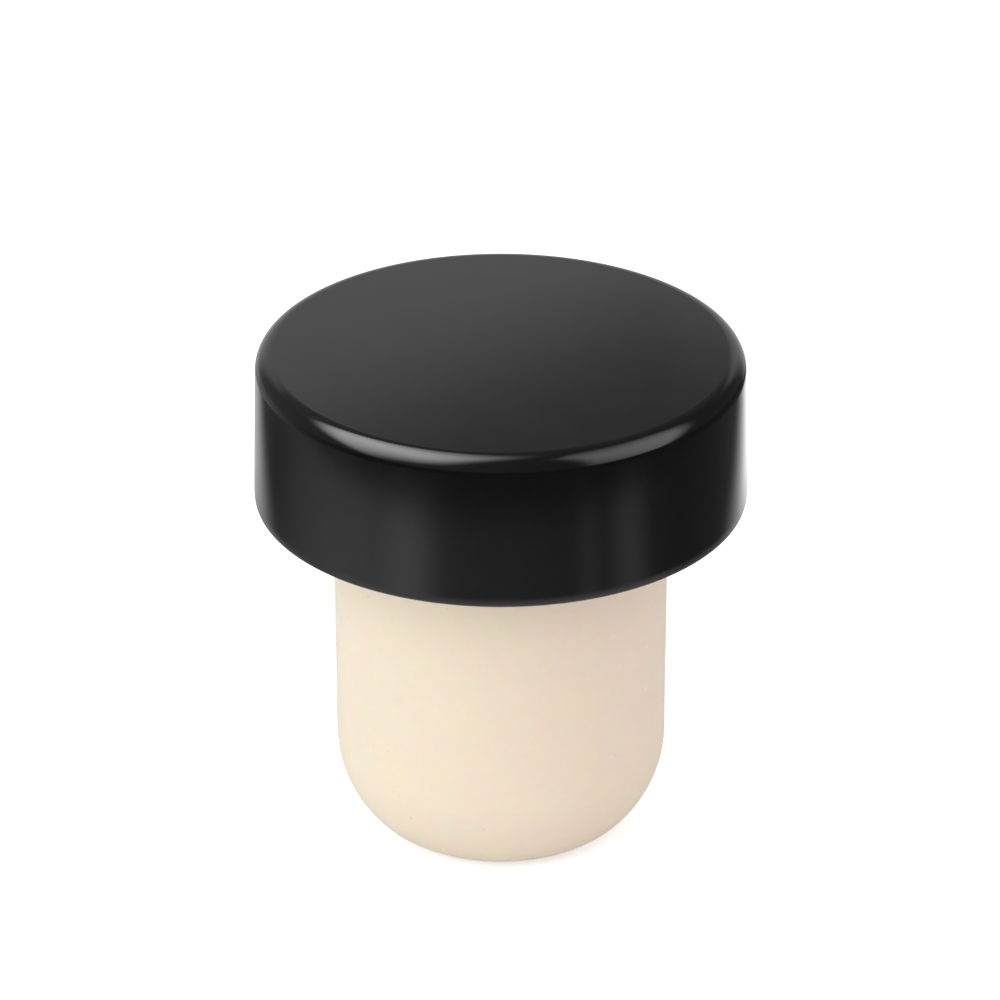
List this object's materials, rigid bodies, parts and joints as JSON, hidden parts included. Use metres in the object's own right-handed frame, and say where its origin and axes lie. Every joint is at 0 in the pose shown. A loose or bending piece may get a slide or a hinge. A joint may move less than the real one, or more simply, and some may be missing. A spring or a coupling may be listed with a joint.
{
  "type": "cork stopper",
  "caption": "T-shaped bottle stopper: round black moulded head on a cream foam shank with a rounded lower end.",
  "frame": {"origin": "centre of the shoulder, the flat ring under the head that comes down on the bottle's lip", "axes": "+Z along the stopper's axis, from the shank towards the head; X and Y are free, because both pieces are turned about Z"},
  "size_m": [0.0286, 0.0286, 0.0303],
  "materials": {
    "head_plastic": "satin",
    "shank_foam": "matte"
  },
  "bodies": {
    "root": {"cap": "head_plastic", "plug": "shank_foam"}
  },
  "joints": []
}
